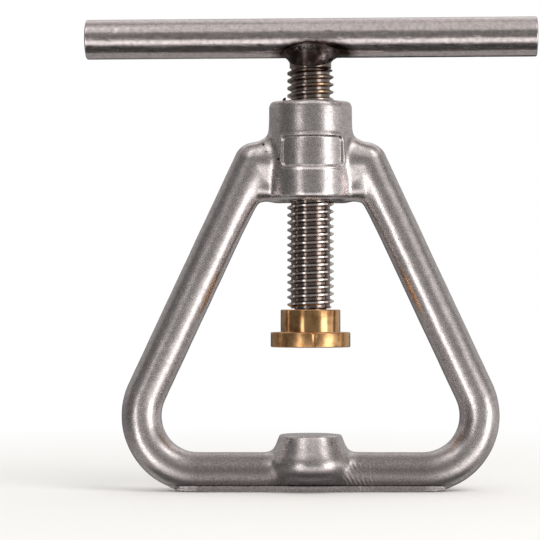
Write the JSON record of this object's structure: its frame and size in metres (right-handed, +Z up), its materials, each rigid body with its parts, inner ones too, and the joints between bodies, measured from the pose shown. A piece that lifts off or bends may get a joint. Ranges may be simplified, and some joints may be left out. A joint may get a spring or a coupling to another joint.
{
  "type": "screw nutcracker press",
  "caption": "Screw nutcracker press: a closed A-shaped cast frame with an anvil on its base bar, a threaded spindle with a welded T-handle and a swivelling brass pad.",
  "frame": {"origin": "on the spindle axis, in the plane of the sole ground under the base bar", "axes": "+Z up along the spindle towards the handle, X along the base bar, -Y the side seen in the picture"},
  "size_m": [0.1364, 0.024, 0.1424],
  "materials": {
    "cast_steel": "blasted and tumbled stainless casting, satin",
    "turned_steel": "machined thread, semi-bright",
    "ground_bar": "drawn round bar, satin with small dents",
    "weld": "dark oxide skin",
    "brass": "turned, lightly tarnished",
    "spring_wire": "plain drawn wire"
  },
  "bodies": {
    "frame": {"frame": "cast_steel"},
    "carrier": {"snap_ring": "spring_wire"},
    "screw": {"spindle": "turned_steel", "handle_bar": "ground_bar", "weld_bead": "weld"},
    "pad": {"pressure_pad": "brass"}
  },
  "joints": [
    {"name": "screw_travel", "type": "slide", "parent": "frame", "child": "carrier", "axis": [0, 0, 1], "range_m": [-0.0102, 0.0316]},
    {"name": "screw_turn", "type": "hinge", "parent": "carrier", "child": "screw", "pos_m": [0, 0, 0.1], "axis": [0, 0, 1], "range_deg": [-1620, 5040]},
    {"name": "pad_swivel", "type": "hinge", "parent": "carrier", "child": "pad", "pos_m": [0, 0, 0.0502], "axis": [0, 0, 1], "continuous": true}
  ],
  "couplings": [
    {"joint": "screw_travel", "follows": "screw_turn", "m_per_rad": 0.0003581}
  ]
}
